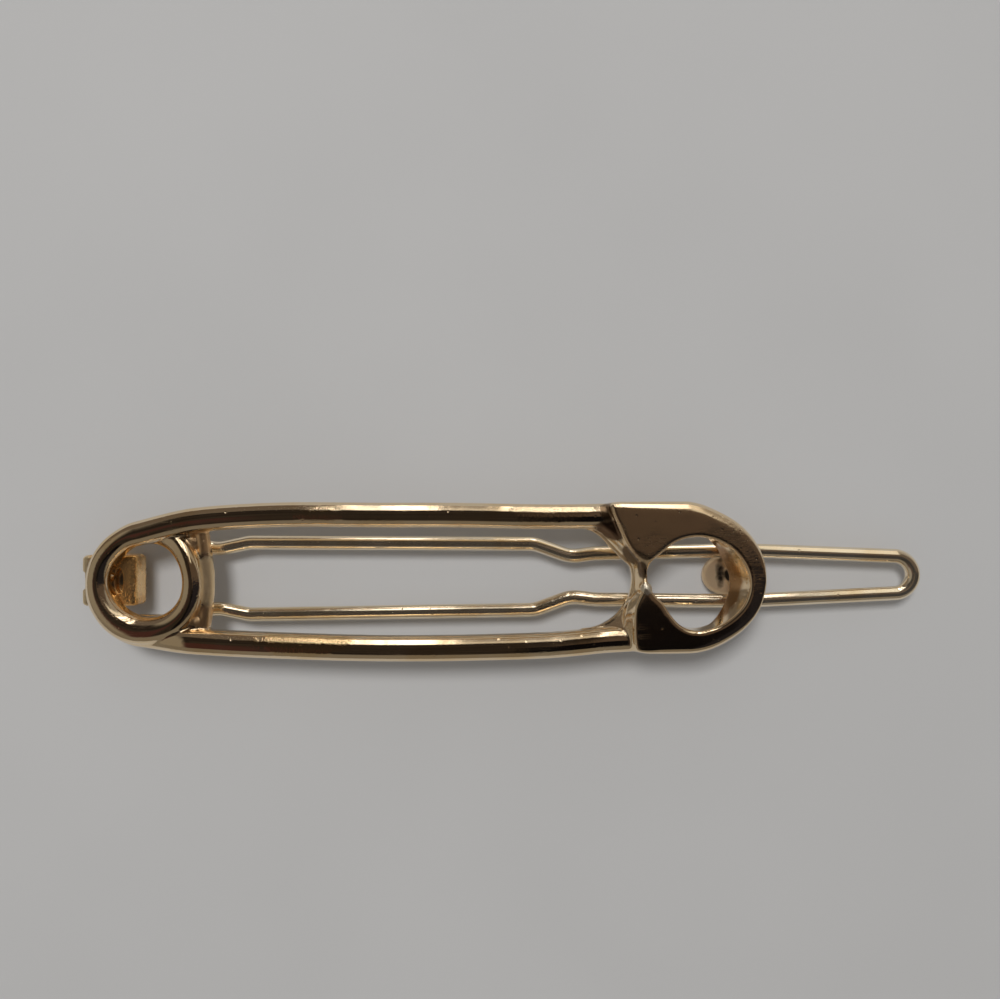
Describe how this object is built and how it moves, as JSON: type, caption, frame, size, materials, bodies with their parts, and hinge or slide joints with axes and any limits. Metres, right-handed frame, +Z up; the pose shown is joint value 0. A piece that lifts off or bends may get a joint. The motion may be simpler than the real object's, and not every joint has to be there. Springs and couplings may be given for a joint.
{
  "type": "hair clip",
  "caption": "Long hair clip shaped like a safety pin: a gold-plated cast front with a coil and an eyed clasp, hinged to a spring-wire tongue that snaps over a stud.",
  "frame": {"origin": "on the surface that the clip lies on, under the middle of its bounding box, with the front face up", "axes": "+X along the clip from the hinge to the tip of the tongue, +Y across it towards the bar that crosses over the coil, +Z up, out of the front face"},
  "size_m": [0.0829, 0.0154, 0.0076],
  "materials": {
    "front_frame": "cast metal, polished and plated champagne gold, mirror bright with fine pits and hairline scratches",
    "hinge_lug": "plated gold over a rougher soldered fitting, darker in its notch",
    "catch_stud": "plated gold over a rougher soldered fitting",
    "tongue_wire": "round spring wire, plated champagne gold, bright with fine drawn marks"
  },
  "bodies": {
    "tongue": {"tongue_wire": "tongue_wire"},
    "front": {"front_frame": "front_frame", "hinge_lug": "hinge_lug", "catch_stud": "catch_stud"}
  },
  "joints": [
    {"name": "front_hinge", "type": "hinge", "parent": "tongue", "child": "front", "pos_m": [-0.03875, 0, 0.00245], "axis": [0, -1, 0], "range_deg": [0, 90]}
  ]
}
